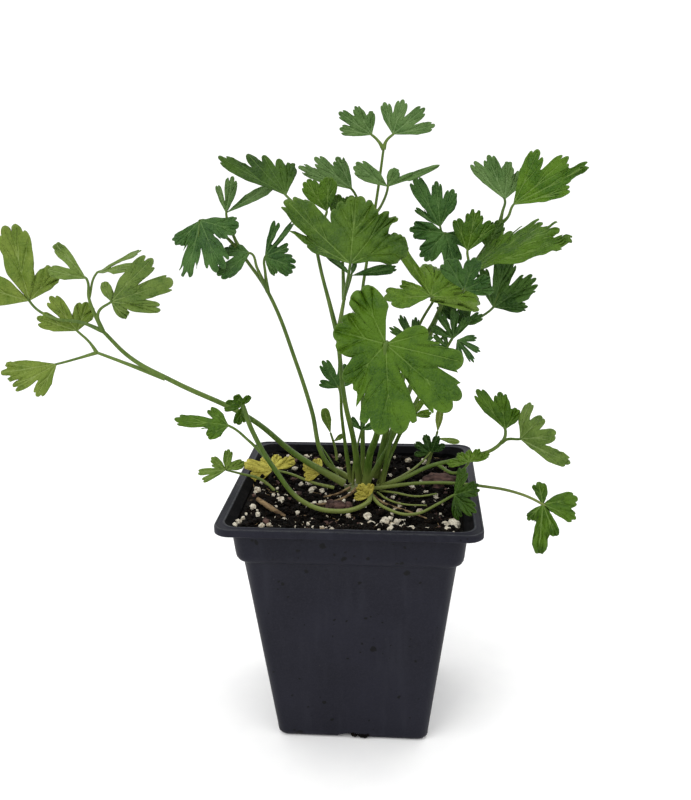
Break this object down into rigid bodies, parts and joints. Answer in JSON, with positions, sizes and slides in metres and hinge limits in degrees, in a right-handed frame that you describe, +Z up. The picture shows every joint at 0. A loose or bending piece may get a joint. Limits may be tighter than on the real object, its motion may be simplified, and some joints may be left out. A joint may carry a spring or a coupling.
{
  "type": "potted parsley",
  "caption": "Square tapered nursery pot filled with potting soil, with one crown of slender stems that fork and carry flat lobed parsley leaves up and out over the rim.",
  "frame": {"origin": "middle of the pot's flat underside", "axes": "+Z up, -Y is the front side of the pot, +X to the right seen from the front"},
  "size_m": [0.2362, 0.102, 0.2557],
  "materials": {
    "pot_plastic": "fine matt",
    "soil_mix": "damp, crumbly",
    "crown_flesh": "matt",
    "stalk_green": "waxy, satin",
    "leaf_fresh": "satin upper side, matt paler underside",
    "leaf_dark": "satin upper side, matt paler underside",
    "leaf_pale": "satin upper side, matt paler underside",
    "young_green": "matt",
    "faded_yellow": "matt, dry"
  },
  "bodies": {
    "root": {"faded_leaf": "faded_yellow", "leaf_big_front_1": "leaf_fresh", "leaf_centre_front_1": "leaf_fresh", "leaf_centre_front_2": "leaf_fresh", "leaf_centre_front_3": "leaf_fresh", "leaf_centre_front_4": "leaf_fresh", "leaf_centre_front_5": "leaf_fresh", "leaf_drooping_right_1": "leaf_fresh", "leaf_far_left_1": "leaf_pale", "leaf_far_left_2": "leaf_pale", "leaf_far_left_3": "leaf_pale", "leaf_far_left_4": "leaf_pale", "leaf_far_left_5": "leaf_pale", "leaf_far_left_6": "leaf_pale", "leaf_front_loop_1": "leaf_fresh", "leaf_front_loop_2": "leaf_fresh", "leaf_inner_1": "leaf_dark", "leaf_low_right_1": "leaf_fresh", "leaf_low_right_2": "leaf_fresh", "leaf_low_right_3": "leaf_fresh", "leaf_mid_right_1": "leaf_dark", "leaf_mid_right_2": "leaf_dark", "leaf_right_1": "leaf_dark", "leaf_right_2": "leaf_dark", "leaf_right_3": "leaf_dark", "leaf_right_4": "leaf_dark", "leaf_right_5": "leaf_dark", "leaf_right_6": "leaf_dark", "leaf_right_7": "leaf_dark", "leaf_rim_right_1": "leaf_fresh", "leaf_tall_1": "leaf_fresh", "leaf_tall_2": "leaf_fresh", "leaf_tall_3": "leaf_fresh", "leaf_tall_4": "leaf_fresh", "leaf_upper_left_1": "leaf_dark", "leaf_upper_left_2": "leaf_dark", "leaf_upper_left_3": "leaf_dark", "leaf_upper_left_4": "leaf_dark", "leaf_upper_right_1": "leaf_fresh", "leaf_upper_right_2": "leaf_fresh", "pot": "pot_plastic", "potting_soil": "soil_mix", "root_crown": "crown_flesh", "seedling_back_left": "young_green", "seedling_back_right": "young_green", "seedling_left": "young_green", "stem_big_front": "stalk_green", "stem_centre_front": "stalk_green", "stem_drooping_right": "stalk_green", "stem_far_left": "stalk_green", "stem_front_loop": "stalk_green", "stem_inner": "stalk_green", "stem_low_right": "stalk_green", "stem_mid_right": "stalk_green", "stem_right": "stalk_green", "stem_rim_right": "stalk_green", "stem_tall": "stalk_green", "stem_upper_left": "stalk_green", "stem_upper_right": "stalk_green"}
  },
  "joints": []
}
